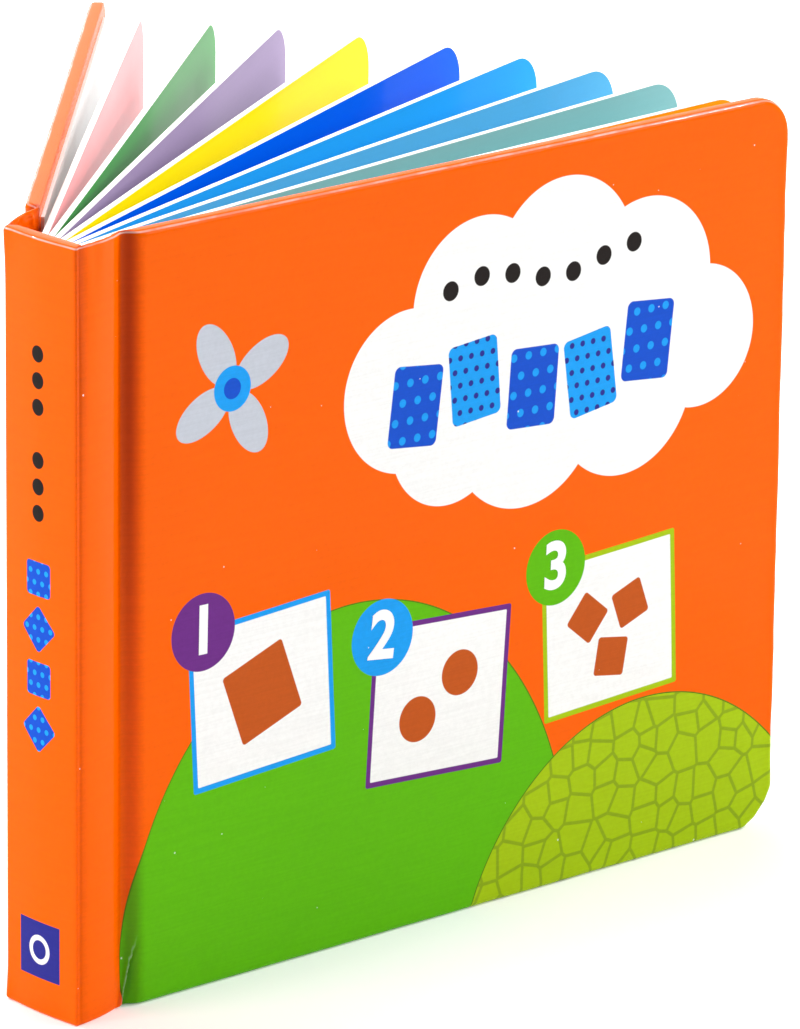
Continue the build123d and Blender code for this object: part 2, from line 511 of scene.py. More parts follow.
SHAPE_INPUTS = {"Along": 0.0, "Up": 0.0, "Across": 0.0, "High": 0.0, "Width": 5.0, "Height": 5.0,
                "Tilt": 0.0}


def flat_position_group():
    """The unrolled position on a sheet, in millimetres along and up."""
    tree, n, _, out = new_group("Unrolled position", {}, {"Along": "Float", "Up": "Float"})
    parts = n.add("ShaderNodeSeparateXYZ")
    n.put(parts.inputs[0], n.unrolled())
    n.put(out["Along"], n.math("MULTIPLY", parts.outputs[0], 1 / UV_SCALE))
    n.put(out["Up"], n.math("MULTIPLY", parts.outputs[1], 1 / UV_SCALE))
    return tree


def turned(n, source):
    """Position about a shape's centre, turned by its tilt in degrees."""
    x = n.math("SUBTRACT", source["Along"], source["Across"])
    y = n.math("SUBTRACT", source["Up"], source["High"])
    angle = n.math("RADIANS", source["Tilt"])
    cos = n.math("COSINE", angle)
    sin = n.math("SINE", angle)
    along = n.math("ADD", n.math("MULTIPLY", x, cos), n.math("MULTIPLY", y, sin))
    up = n.math("SUBTRACT", n.math("MULTIPLY", y, cos), n.math("MULTIPLY", x, sin))
    return along, up


def disc_group():
    """Soft-edged ellipse with half axes Width and Height: 1 inside, 0 outside."""
    tree, n, source, out = new_group("Printed disc", SHAPE_INPUTS, {"Mask": "Float"})
    x, y = turned(n, source)
    reach = n.distance(n.math("DIVIDE", x, source["Width"]), n.math("DIVIDE", y, source["Height"]))
    n.put(out["Mask"], n.cut(n.math("MULTIPLY", n.math("SUBTRACT", 1.0, reach), source["Width"])))
    return tree


def tile_group():
    """Soft-edged rounded rectangle with half sides Width and Height: 1 inside, 0 outside."""
    tree, n, source, out = new_group("Printed tile", {**SHAPE_INPUTS, "Corner": 0.5}, {"Mask": "Float"})
    past = []
    for value, half in zip(turned(n, source), (source["Width"], source["Height"])):
        edge = n.math("SUBTRACT", half, source["Corner"])
        past.append(n.math("MAXIMUM", n.math("SUBTRACT", n.math("ABSOLUTE", value), edge), 0.0))
    n.put(out["Mask"], n.cut(n.math("SUBTRACT", source["Corner"], n.distance(*past))))
    return tree


def dots_group():
    """Staggered polka dots; the size is a dot's radius as a share of the pitch."""
    tree, n, source, out = new_group(
        "Polka dots", {"Along": 0.0, "Up": 0.0, "Pitch": 3.0, "Size": 0.25}, {"Mask": "Float"})
    row = n.math("DIVIDE", source["Up"], source["Pitch"])
    shift = n.math("MULTIPLY", n.math("FLOORED_MODULO", n.math("FLOOR", row), 2.0), 0.5)
    column = n.math("ADD", n.math("DIVIDE", source["Along"], source["Pitch"]), shift)
    x = n.math("SUBTRACT", n.math("FRACT", column), 0.5)
    y = n.math("SUBTRACT", n.math("FRACT", row), 0.5)
    n.put(out["Mask"], n.cut(n.math("SUBTRACT", source["Size"], n.distance(x, y)), 24.0))
    return tree


SPOTS_LEFT = 42.0
SPOTS_TOP = 152.0


def counting_group():
    """Up to nine printed discs in rows of three, filled in turn until the count is reached."""
    tree, n, source, out = new_group(
        "Counting spots", {"Along": 0.0, "Up": 0.0, "Count": 3.0, "Pitch": 42.0, "Radius": 12.0},
        {"Mask": "Float"})
    column = n.math("DIVIDE", n.math("SUBTRACT", source["Along"], SPOTS_LEFT), source["Pitch"])
    row = n.math("DIVIDE", n.math("SUBTRACT", SPOTS_TOP, source["Up"]), source["Pitch"])
    order = n.math("ADD", n.math("MULTIPLY", n.math("FLOOR", row), 3.0), n.math("FLOOR", column))
    held = n.math("LESS_THAN", order, n.math("SUBTRACT", source["Count"], 0.5))
    for value in (column, row):
        held = n.math("MULTIPLY", held, n.math("GREATER_THAN", value, 0.0))
        held = n.math("MULTIPLY", held, n.math("LESS_THAN", value, 3.0))
    x = n.math("MULTIPLY", n.math("SUBTRACT", n.math("FRACT", column), 0.5), source["Pitch"])
    y = n.math("MULTIPLY", n.math("SUBTRACT", n.math("FRACT", row), 0.5), source["Pitch"])
    disc = n.cut(n.math("SUBTRACT", source["Radius"], n.distance(x, y)))
    n.put(out["Mask"], n.math("MULTIPLY", disc, held))
    return tree


def press_group():
    """What the press and the laminate leave on every printed sheet: faint ink mottle and level
    streaks, rare pale specks, a slightly uneven gloss and a fine orange-peel height."""
    tree, n, source, out = new_group(
        "Printed laminate", {"Color": ("Color", PAPER_WHITE), "Gloss": 0.25, "Wear": 1.0, "Grain": 1.0},
        {"Color": "Color", "Roughness": "Float", "Height": "Float"})
    place_here = n.object_place()
    mottle = n.band(n.noise(place_here, 900.0, 3.0, 0.7), 0.3, 0.7, 0.965, 1.02)
    cloud = n.band(n.noise(place_here, 22.0), 0.3, 0.7, 0.985, 1.01)
    level = n.add("ShaderNodeMapping")
    n.put(level.inputs["Vector"], place_here)
    n.put(level.inputs["Scale"], (70.0, 70.0, 2300.0))
    streak = n.band(n.noise(level.outputs[0], 1.0), 0.3, 0.7, 0.97, 1.02)
    shade = n.math("MULTIPLY", n.math("MULTIPLY", mottle, cloud), streak)
    grain = n.add("ShaderNodeVectorMath", operation="SCALE")
    n.put(grain.inputs[0], source["Color"])
    n.put(grain.inputs["Scale"],
          n.math("MULTIPLY_ADD", n.math("SUBTRACT", shade, 1.0), source["Grain"], 1.0))
    speck = n.add("ShaderNodeTexVoronoi", feature="F1", voronoi_dimensions="2D")
    n.put(speck.inputs["Vector"], n.unrolled())
    n.put(speck.inputs["Scale"], 7.0)
    lot = n.add("ShaderNodeSeparateColor")
    n.put(lot.inputs[0], speck.outputs["Color"])
    size = n.math("MULTIPLY", n.math("SUBTRACT", lot.outputs[0], 0.72), 0.06)
    chip = n.math("MULTIPLY", n.math("LESS_THAN", speck.outputs["Distance"], size), source["Wear"])
    n.put(out["Color"], n.mix(n.math("MULTIPLY", chip, 0.7), grain.outputs[0], SPECK_COLOUR))
    dull = n.band(n.noise(place_here, 60.0), 0.2, 0.8, -0.02, 0.02)
    n.put(out["Roughness"], n.math("ADD", source["Gloss"], dull, clamp=True))
    peel = n.math("MULTIPLY", n.noise(place_here, 420.0), 0.35)
    n.put(out["Height"], n.math("ADD", peel, n.noise(place_here, 45.0)))
    return tree


def edge_wear_group():
    """Painted highlight on an edge: a thin pale line just inside the rim, where a sheet starts to turn
    over, fading out towards the rim and at the reach in millimetres, and uneven along the edge."""
    tree, n, source, out = new_group(
        "Painted edge glint", {"Rim": 0.0, "Reach": 0.5, "Amount": 0.5}, {"Mask": "Float"})
    patchy = n.band(n.noise(n.object_place(), 130.0, 3.0, 0.6), 0.4, 0.6, 0.5, 1.0)
    share = n.math("DIVIDE", source["Rim"], source["Reach"])
    near = n.math("MULTIPLY", n.band(share, 0.15, 0.45), n.band(share, 0.65, 1.0, 1.0, 0.0))
    n.put(out["Mask"], n.math("MULTIPLY", n.math("MULTIPLY", near, patchy), source["Amount"]))
    return tree


PRESS = press_group()
# Painted highlight along the edges of the case skin.
PAINTED_GLINT = edge_wear_group()
FLAT = flat_position_group()
DISC = disc_group()
TILE = tile_group()
DOTS = dots_group()
SPOTS = counting_group()


class Print:
    """A sheet's print, laid down as fields of ink one over the other. Places are millimetres along
    the unrolled sheet and up from the foot."""

    def __init__(self, name, ground):
        self.material, self.nodes, self.shader = new_material(name)
        self.along, self.up = self.nodes.group(FLAT).outputs
        self.color = ink(ground)

    def lay(self, mask, colour):
        """A field of ink under a mask."""
        self.color = self.nodes.mix(mask, self.color, ink(colour))

    def shade(self, mask, depth):
        """Painted shade: darkens the ink under a mask, standing for the shade that falls in grooves and
        folds.
        """
        factor = self.nodes.math("MULTIPLY", mask, depth)
        self.color = self.nodes.mix(factor, self.color, PAINTED_SHADE_TINT, "MULTIPLY")

    def mask(self, tree, **values):
        """A group's mask, with its own values, on this sheet."""
        return self.nodes.group(tree, Along=self.along, Up=self.up, **values).outputs[0]

    def disc(self, x, z, width, height=None, tilt=0.0):
        """Mask of an ellipse by its half axes."""
        return self.mask(DISC, Across=x, High=z, Width=width, Height=height or width, Tilt=tilt)

    def tile(self, x, z, width, height, tilt=0.0, corner=0.5):
        """Mask of a rounded rectangle by its half sides."""
        return self.mask(TILE, Across=x, High=z, Width=width, Height=height, Tilt=tilt, Corner=corner)

    def dots(self, pitch, size):
        """Mask of polka dots."""
        return self.mask(DOTS, Pitch=pitch, Size=size)

    def spots(self, count, drop=0.0, **sizes):
        """Mask of counting spots, as many as the count, moved down by the drop."""
        up = self.nodes.math("ADD", self.up, drop) if drop else self.up
        return self.nodes.group(SPOTS, Along=self.along, Up=up, Count=float(count), **sizes).outputs[0]

    def both(self, a, b):
        return self.nodes.math("MULTIPLY", a, b)

    def line(self, value, centre, half):
        """Soft line where a value is within half of its centre."""
        n = self.nodes
        return n.band(n.math("ABSOLUTE", n.math("SUBTRACT", value, centre)), 0.0, half, 1.0, 0.0)

    def laminate(self, gloss=0.24, coat=0.12, wear=1.0, bump=0.06, grain=1.0):
        """Joins the print to the glossy laminate that covers it."""
        n = self.nodes
        press = n.group(PRESS, Color=self.color, Gloss=gloss, Wear=wear, Grain=grain)
        n.put(self.shader["Base Color"], press.outputs["Color"])
        n.put(self.shader["Roughness"], press.outputs["Roughness"])
        raise_grain(n, self.shader, press.outputs["Height"], bump, 0.0006)
        self.shader["Specular IOR Level"].default_value = 0.01
        self.shader["Coat Weight"].default_value = coat
        self.shader["Coat Roughness"].default_value = 0.08
        self.shader["Coat IOR"].default_value = 1.45
        return self.material


# ---- case skin
def case_stations(side):
    """Matched outer and inner plan points, from the middle of the spine to the fore edge."""
    sheet = STRIP_THICKNESS + 0.1
    pairs = []
    for share in (0, 0.25, 0.5, 0.75, 0.93):
        out = FOLD * share
        board = min(out, FOLD - BOARD_MARGIN)
        pairs.append((panel_point(side, out, 0), panel_point(side, board, PANEL_THICKNESS)))
    pairs.append((strip_point(side, 0, 0), strip_point(side, 1.2, sheet)))
    for share in (0.12, 0.3, 0.5, 0.7, 0.9):
        bulge = STRIP_BULGE * math.sin(math.pi * share)
        along = STRIP_LENGTH * share
        pairs.append((strip_point(side, along, -bulge), strip_point(side, along, sheet - bulge)))
    pairs.append((strip_point(side, STRIP_LENGTH, 0.1),
                  strip_point(side, STRIP_LENGTH - 0.3, sheet + 0.2)))
    for along, depth, inner_along, inner_depth in (
            (-HINGE_LIP, GROOVE_DEPTH, -HINGE_LIP, GROOVE_DEPTH + sheet),
            (-1.0, GROOVE_DEPTH - 0.1, -1.0, COVER_THICKNESS),
            (1.2, 0.35, 0.8, COVER_THICKNESS),
            (2.4, 0.0, 2.2, COVER_THICKNESS),
            (6.0, 0.0, 6.0, COVER_THICKNESS),
            (COVER_LENGTH, 0.0, COVER_LENGTH, COVER_THICKNESS)):
        pairs.append((cover_point(side, along, depth), cover_point(side, inner_along, inner_depth)))
    outer = np.array([pair[0] for pair in pairs])
    steps = np.linalg.norm(np.diff(outer, axis=0), axis=1)
    distance = np.concatenate([[0], np.cumsum(steps)])
    return [[(d, pair[i]) for d, pair in zip(distance, pairs)] for i in (0, 1)]


class CaseShape:
    """How one side's case skin departs from a plain bent sheet. t is the distance from the middle
    of the spine, z the height, rim the distance to the nearest edge; (+) sinks, (-) stands out."""

    def __init__(self, side, start):
        self.side = side
        self.start = start
        self.seed = SIDES[side] + 2

    def cover(self, t):
        """0 on spine and strip, 1 on the cover."""
        return ease(t, self.start - 2.5, self.start + 2.0)

    def outer_round(self, t):
        """Outer edge rounding: the wrap's own, plus the padding's, which varies in two waves."""
        uneven = 1 + 0.16 * ripple(t, 31.0, self.seed) + 0.05 * ripple(t, 7.3, self.seed + 3)
        return WRAP_EDGE_ROUND + PADDED_EDGE_ROUND * self.cover(t) * uneven

    def inner_round(self, t):
        """Inner edge rounding, a little larger on the cover."""
        return INNER_EDGE_ROUND + PADDED_INNER_ROUND * self.cover(t)

    def padding(self, t, z, rim):
        """The padding's slow wander, a hollow just inside the edges, and thin waves where the
        wrap is drawn over them: ripples times bells of the distance to the edge."""
        wander = PADDING_WANDER * ripple(t + 0.6 * z, 57.0, self.seed) * ease(rim, 1.5, 9)
        hollow = EDGE_HOLLOW * bell(rim, 4.6, 2.2) * (1 + 0.7 * ripple(t, 23.0, self.seed + 5))
        drawn = DRAWN_WAVES * ripple(t, 4.1, self.seed + 1) * bell(rim, 1.6, 1.2)
        return self.cover(t) * (wander + hollow + drawn)

    def strip(self, t, z):
        """The strip's crease along the spine fold, and its sinking beside the fold near the head:
        bells across the strip times bells down from the head."""
        on_strip = ease(t, FOLD, FOLD + 1) * (1 - self.cover(t))
        sink = HEAD_SINK * bell(t, FOLD + 2.6, 2.0) * bell(HEIGHT - z, 6.0, 17.0)
        dent = HEAD_DENT * bell(t, FOLD + 6.2, 1.3) * bell(HEIGHT - z, 2.0, 8.0)
        return FOLD_CREASE * bell(t, FOLD + 0.9, 0.6) + on_strip * (sink + dent)

    def pleat(self, t, z):
        """Diagonal pleat across the groove at the foot, where the groove is also shallower: a
        ridge and a hollow that are bells of the distance from a slanting line."""
        line = t - (self.start - PLEAT_START) - PLEAT_SLANT * z
        off_cover = 1 - ease(t, self.start - 1, self.start + 3)
        ridge = PLEAT_RIDGE * bell(line, 0, 0.5) * (1 - ease(z, 12, 22))
        hollow = PLEAT_HOLLOW * bell(line, 1.4, 0.8) * (1 - ease(z, 10, 19))
        fill = GROOVE_FILL * bell(t, self.start - 2.6, 2.2) * (1 - ease(z, 2, 15))
        return off_cover * (hollow - ridge) - fill

    def flare(self, t, z):
        """The spine's folds stand out at head and foot."""
        ends = bell(HEIGHT - z, 0, 7.0) + bell(z, 0, 5.0)
        return -FOLD_FLARE[self.side] * bell(t, FOLD - 0.6, 1.6) * ends

    def relief(self, t, z, rim):
        """All that moves the outer sheet, fading out at its very edge."""
        move = self.padding(t, z, rim) + self.strip(t, z) + self.pleat(t, z) + self.flare(t, z)
        return move * ease(rim, -0.4, 1.0)

    def lining(self, t, z):
        """Creases inside the strip at the head: two ripples that cross at a slant."""
        on_strip = ease(t, FOLD + 2, FOLD + 4) * (1 - ease(t, self.start - 6, self.start - 4))
        crossed = 0.22 * ripple(t + 0.5 * z, 3.4, self.seed)
        crossed = crossed + 0.16 * ripple(z - 0.3 * t, 2.9, self.seed + 1)
        return on_strip * bell(HEIGHT - z, 3.0, 9.0) * crossed

    def wave(self, z):
        """How far the fore edge is drawn back, in two waves, except at a bump below the head."""
        drawn = FORE_EDGE_DRAW + 0.12 * ripple(z, 43.0, self.seed)
        drawn = drawn + 0.05 * ripple(z, 13.0, self.seed + 2)
        return drawn * (1 - bell(z, HEIGHT - 11.0, 2.5)) * ease(z, 8, 20)


COVER_START = {}


def case_skin(side):
    """Half of the spine panel, a shoulder strip, the groove and one cover, in one piece of skin."""
    outer_stations, inner_stations = case_stations(side)
    length = outer_stations[-1][0]
    start = length - COVER_LENGTH
    COVER_START[side] = start
    groove = start - 4.5
    columns = grid_lines(
        graded((0, FOLD - 1.5, 1.4), (FOLD - 1.5, FOLD + 2.0, 0.25), (FOLD + 2.0, groove - 1.5, 0.9),
               (groove - 1.5, start + 4.0, 0.3), (start + 4.0, length - COVER_CORNER, 3.0)),
        length - edge_steps(COVER_CORNER, COVER_EDGE_REACH, 8, 14, 3))
    low = edge_steps(COVER_CORNER, COVER_EDGE_REACH, 9, 14, 3)
    rows = grid_lines(low, graded((COVER_CORNER, HEIGHT - COVER_CORNER, 2.4)), HEIGHT - low)
    shape = CaseShape(side, start)
    piece = shell(side + "_case_skin", smooth_line(outer_stations, 0.42),
                  smooth_line(inner_stations, 0.3), columns, rows, COVER_CORNER,
                  (shape.outer_round, shape.inner_round), facets=pleated_corner,
                  relief=shape.relief, lining=shape.lining, wave=shape.wave)
    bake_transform(piece)
    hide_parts(side + "_wrap", side + "_padding", side + "_board")
    return piece


# ---- leaves
def leaf_root(number):
    """Plan point at the gutter of a leaf's front face, counted from the front cover."""
    y = SPINE_Y[0] + BLOCK_FRONT_MARGIN + number * LEAF_THICKNESS
    return np.array([SPINE_X + PANEL_THICKNESS + GUTTER, y])


def leaf_piece(number):
    """One leaf: a stiff board with rounded fore corners, bent by its curl times half a sine."""
    angle = LEAF_ANGLES[number]
    root = leaf_root(number)
    square = heading(angle + 90)
    curl = LEAF_CURL * ripple(number, 3.1, 2)
    t = np.linspace(-GUTTER / 2, LEAF_LENGTH, 60)
    bend = curl * np.sin(np.pi * np.clip(t / LEAF_LENGTH, 0, 1))
    front = root + t[:, None] * heading(angle) + bend[:, None] * square
    shift = t + GUTTER / 2
    length = shift[-1]
    tall = HEIGHT - 2 * LEAF_SQUARE
    low = edge_steps(LEAF_CORNER, LEAF_EDGE_REACH, 4, 12, 2)
    columns = grid_lines(graded((0, length - LEAF_CORNER, 6.0)), length - low)
    rows = grid_lines(low, graded((LEAF_CORNER, tall - LEAF_CORNER, 12.0)), tall - low)
    piece = shell(f"leaf_{number + 1}", (shift, front), (shift, front + square * LEAF_THICKNESS),
                  columns, rows + LEAF_SQUARE, LEAF_CORNER, (LEAF_EDGE_ROUND, LEAF_EDGE_ROUND))
    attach(piece, "spine")
    return piece


def gutter_piece():
    """The folded backs of the leaves, glued in one block behind the spine."""
    start = leaf_root(0) - np.array([GUTTER, 0])
    width = LEAF_THICKNESS * len(LEAF_ANGLES)
    lines = []
    for depth in (0.0, GUTTER + GUTTER_LAP):
        points = start + np.array([(depth, GUTTER_GAP), (depth, width - GUTTER_GAP)])
        lines.append((np.array([0, points[1][1] - points[0][1]]), points))
    across = lines[0][0][1]
    rows = graded((LEAF_SQUARE, HEIGHT - LEAF_SQUARE, 8.0))
    piece = shell("gutter", lines[0], lines[1], graded((0, across, 1.0)), rows, 0.4, (0.1, 0.1))
    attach(piece, "spine")
    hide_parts("page_block")
    return piece


# ---- print designs
def lined_inside(sheet):
    """Behind the case skin: orange turn-ins at the edges and plain lining between them."""
    n = sheet.nodes
    away = n.math("GREATER_THAN", n.attribute("rim"), TURN_IN)
    sheet.lay(sheet.both(n.attribute("inside"), away), "lining")


def pressed_folds(sheet, x0):
    """Painted shade along the groove, more so towards the head, and beside the spine fold; a painted
    highlight line with a painted shadow line beside it along the pleat at the foot; and a painted
    highlight just inside the outer edges, most at the head."""
    n = sheet.nodes
    # Painted shade in the groove, deeper towards the head.
    groove = sheet.both(n.band(sheet.along, x0 - 5.6, x0 - 2.6),
                        n.band(sheet.along, x0 - 1.2, x0 + 2.0, 1.0, 0.0))
    sheet.shade(groove, n.band(sheet.up, 30.0, 150.0, 0.35, 1.0))
    # Painted shade beside the spine fold, stronger near the head.
    sheet.shade(sheet.line(sheet.along, FOLD + 1.5, 3.2), n.band(sheet.up, 110.0, HEIGHT, 0.25, 0.7))
    slant = n.math("SUBTRACT", n.math("SUBTRACT", sheet.along, x0 - PLEAT_START),
                   n.math("MULTIPLY", sheet.up, PLEAT_SLANT))
    low = n.band(sheet.up, 11.0, 17.0, 1.0, 0.0)
    # Painted shadow beside the pleat's fold at the foot.
    sheet.shade(sheet.both(sheet.line(slant, 1.0, 1.0), low), 0.6)
    # Painted highlight along the pleat's fold.
    pale = n.math("MULTIPLY", sheet.both(sheet.line(slant, 0.0, 0.4), low), 0.22)
    sheet.lay(pale, "white")
    # Painted highlight: a thin pale line just inside the outer edges, strongest at the head.
    outside = n.math("SUBTRACT", 1.0, n.attribute("inside"))
    amount = n.math("MULTIPLY", outside, n.band(sheet.up, 160.0, HEIGHT, 0.06, 0.4))
    painted_edge_glint = n.group(PAINTED_GLINT, Rim=n.attribute("rim"), Reach=0.6, Amount=amount).outputs[0]
    sheet.lay(painted_edge_glint, "cut board")


SPINE_DOT_HEIGHTS = (152.0, 146.0, 140.0, 128.0, 122.0, 116.0)
SPINE_BLOCK_HEIGHTS = (101.0, 89.5, 78.0, 66.5)
SPINE_MARK_HEIGHT = 15.0


def spine_print(sheet):
    """Small discs, blue blocks and a navy square down the spine, on both halves of the panel."""
    for z in SPINE_DOT_HEIGHTS:
        sheet.lay(sheet.disc(0, z, 1.9), "black")
    for i, z in enumerate(SPINE_BLOCK_HEIGHTS):
        block = sheet.tile(0, z, 3.9, 3.9, 45 * (i % 2), 0.9)
        sheet.lay(block, "blue")
        sheet.lay(sheet.both(block, sheet.dots(2.6, 0.24)), "sky")
    sheet.lay(sheet.tile(0, SPINE_MARK_HEIGHT, 6.6, 6.6, 0, 0.15), "navy")
    sheet.lay(sheet.disc(0, SPINE_MARK_HEIGHT, 3.4), "white")
    sheet.lay(sheet.disc(0, SPINE_MARK_HEIGHT, 2.2), "navy")


# Puffs of the cloud: place along the cover, height and radius.
CLOUD_PUFFS = ((78, 128, 19), (99, 145, 20), (124, 149, 21), (149, 141, 20), (166, 125, 17),
               (143, 117, 21), (113, 116, 22), (90, 116, 17))
# Blocks in the cloud: place along the cover and tilt.
CLOUD_BLOCKS = ((80, -7), (97.5, 5), (115, -4), (132.5, 8), (150, -6))
HILL = (62.0, 2.0, 66, 79)
KNOLL = (152, -26, 58, 66)
OUTLINE = 0.3
FLOWER = (27, 138)
PETALS = 4
PETAL_REACH = 9.5
# Number tiles: place along the cover, height and tilt; then frame and badge inks, and the size and
# corner of the shapes in them.
TILE_SPOTS = ((36.0, 66.0, 3.0), (88.0, 54.0, -3.5), (140.0, 60.0, 2.5))
TILE_FRAMES = ("sky", "purple", "lime")
TILE_BADGES = ("purple", "sky", "green")
TILE_SHAPES = ((9.0, 0.8), (5.4, 5.39), (4.6, 0.8))
BADGE_OFFSET = (-17.0, 17.5)


def hills(sheet, x0):
    """A green hill and a pebbled lime knoll, each with a thin dark outline."""
    x, z, wide, high = HILL
    sheet.lay(sheet.disc(x0 + x, z, wide + OUTLINE, high + OUTLINE), "moss")
    sheet.lay(sheet.disc(x0 + x, z, wide, high), "green")
    sheet.lay(sheet.disc(x0 + 40, 70, 5.0, 3.6, 20), "leaf green")
    x, z, wide, high = KNOLL
    sheet.lay(sheet.disc(x0 + x, z, wide + OUTLINE, high + OUTLINE), "moss")
    knoll = sheet.disc(x0 + x, z, wide, high)
    sheet.lay(knoll, "lime")
    n = sheet.nodes
    pebble = n.add("ShaderNodeTexVoronoi", feature="DISTANCE_TO_EDGE", voronoi_dimensions="2D")
    n.put(pebble.inputs["Vector"], n.unrolled())
    n.put(pebble.inputs["Scale"], 15.0)
    n.put(pebble.inputs["Randomness"], 0.8)
    joint = n.band(pebble.outputs["Distance"], 0.045, 0.085, 0.75, 0.0)
    sheet.lay(sheet.both(knoll, joint), "olive")


def cloud(sheet, x0):
    """White cloud: the union of its puffs."""
    puffs = [sheet.disc(x0 + x, z, radius) for x, z, radius in CLOUD_PUFFS]
    total = puffs[0]
    for puff in puffs[1:]:
        total = sheet.nodes.math("MAXIMUM", total, puff)
    sheet.lay(total, "white")


def cloud_blocks(sheet, x0):
    """A row of spotted blue blocks, and a wavy row of black discs over it."""
    for i, (x, tilt) in enumerate(CLOUD_BLOCKS):
        block = sheet.tile(x0 + x, 124 + 3 * math.sin(1.9 * i), 7.2, 9.4, tilt, 1.6)
        ground, spot, pitch = (("blue", "sky", 4.4), ("sky", "navy", 3.2))[i % 2]
        sheet.lay(block, ground)
        sheet.lay(sheet.both(block, sheet.dots(pitch, 0.22)), spot)
    for i in range(7):
        sheet.lay(sheet.disc(x0 + 90 + 9.2 * i, 149 + 2.0 * math.sin(1.3 * i), 2.3), "black")


def flower(sheet, x0):
    """Four grey petals round a blue eye."""
    x, z = x0 + FLOWER[0], FLOWER[1]
    for i in range(PETALS):
        turn = 1.57 * i + 0.5
        sheet.lay(sheet.disc(x + PETAL_REACH * math.cos(turn), z + PETAL_REACH * math.sin(turn),
                             8.2, 4.6, math.degrees(turn)), "grey")
    sheet.lay(sheet.disc(x, z, 5.2), "sky")
    sheet.lay(sheet.disc(x, z, 2.4), "blue")


def number_tiles(sheet, x0):
    """Three white tiles in coloured frames, with one, two and three rust shapes, and a badge each."""
    for i, (x, z, tilt) in enumerate(TILE_SPOTS):
        sheet.lay(sheet.tile(x0 + x, z, 20.5, 19.0, tilt, 0.6), TILE_FRAMES[i])
        sheet.lay(sheet.tile(x0 + x, z, 19.2, 17.7, tilt, 0.3), "white")
        size, corner = TILE_SHAPES[i]
        reach = 0.0 if i == 0 else 7.6
        for j in range(i + 1):
            turn = 2 * math.pi * j / (i + 1) + 0.6
            sheet.lay(sheet.tile(x0 + x + reach * math.cos(turn), z + reach * math.sin(turn),
                                 size, size, 20 + 30 * j, corner), "rust")
    for (x, z, _), badge in zip(TILE_SPOTS, TILE_BADGES):
        sheet.lay(sheet.disc(x0 + x + BADGE_OFFSET[0], z + BADGE_OFFSET[1], 9.0), badge)


def front_print():
    """Front case skin: a cloud of blue blocks over green hills, with three framed number tiles."""
    sheet = Print("Front case print", "orange")
    x0 = COVER_START["front"]
    cloud(sheet, x0)
    hills(sheet, x0)
    cloud_blocks(sheet, x0)
    flower(sheet, x0)
    number_tiles(sheet, x0)
    spine_print(sheet)
    # Painted shade in the groove and folds, and painted highlights on the pleat and edges.
    pressed_folds(sheet, x0)
    lined_inside(sheet)
    return sheet.laminate()


def back_print():
    """Back case skin: plain orange with a green hill at the foot and three small discs."""
    sheet = Print("Back case print", "orange")
    x0 = COVER_START["back"]
    sheet.lay(sheet.disc(x0 + 98, -88, 120), "green")
    for x, colour in ((68, "purple"), (91, "green"), (114, "sky")):
        sheet.lay(sheet.disc(x0 + x, 120, 8.5), colour)
    spine_print(sheet)
    # Painted shade in the groove and folds, and painted highlights on the pleat and edges.
    pressed_folds(sheet, x0)
    lined_inside(sheet)
    return sheet.laminate()


# Ground and accent ink of each leaf's front face.
LEAF_INKS = (("amber", "rust"), ("teal", "navy"), ("pale azure", "blue"), ("azure", "yellow"),
             ("royal", "sky"), ("yellow", "purple"), ("lavender", "navy"), ("leaf green", "lime"),
             ("pink", "purple"))
BACK_GROUNDS = tuple(ground for ground, _ in LEAF_INKS[1:]) + ("white",)


def leaf_print(number):
    """Page spread: each face a field of one ink with as many discs as the page number, low down on
    the front face and on a white panel behind it, and white cut edges."""
    ground, accent = LEAF_INKS[number]
    sheet = Print(f"Leaf print {number + 1}", ground)
    n = sheet.nodes
    behind = n.attribute("inside")
    panel = sheet.tile(GUTTER / 2 + 105, 89, 72, 66, 0, 12)
    sheet.lay(sheet.spots(number + 1, 58.0, Pitch=29.0, Radius=9.5), accent)
    sheet.lay(behind, BACK_GROUNDS[number])
    sheet.lay(sheet.both(panel, behind), "white")
    sheet.lay(sheet.both(sheet.spots(number + 1), behind), accent)
    sheet.lay(n.math("LESS_THAN", n.attribute("rim"), 0.16), "cut board")
    return sheet.laminate(gloss=0.2, coat=0.06, wear=0.0, bump=0.01, grain=0.25)


def board_material(name, colour, scale):
    """Bare grey or white board: fibres and flecks, matt."""
    material, n, shader = new_material(name)
    fibre = n.noise(n.object_place(), scale, 6.0, 0.7)
    base = ink(colour)
    dark = tuple(0.75 * c for c in base[:3]) + (1.0,)
    n.put(shader["Base Color"], n.mix(n.band(fibre, 0.35, 0.65), dark, base))
    n.put(shader["Roughness"], n.band(fibre, 0.3, 0.7, 0.75, 0.9))
    raise_grain(n, shader, fibre, 0.3, 0.0002)
    return material


def end_paper_material():
    """White end ply with a faint satin coat and a whisper of shadow in its stock."""
    material, n, shader = new_material("End ply")
    press = n.group(PRESS, Color=ink("white"), Gloss=0.3, Wear=0.0, Grain=0.2)
    n.put(shader["Base Color"], press.outputs["Color"])
    n.put(shader["Roughness"], press.outputs["Roughness"])
    shader["Coat Weight"].default_value = 0.4
    shader["Coat Roughness"].default_value = 0.1
    return material


# ---- numerals
FIGURE_SIZE = 15.5
FIGURE_WEIGHT = 0.45
FIGURE_HALF_THICKNESS = 0.02
FIGURE_LIFT = 0.035


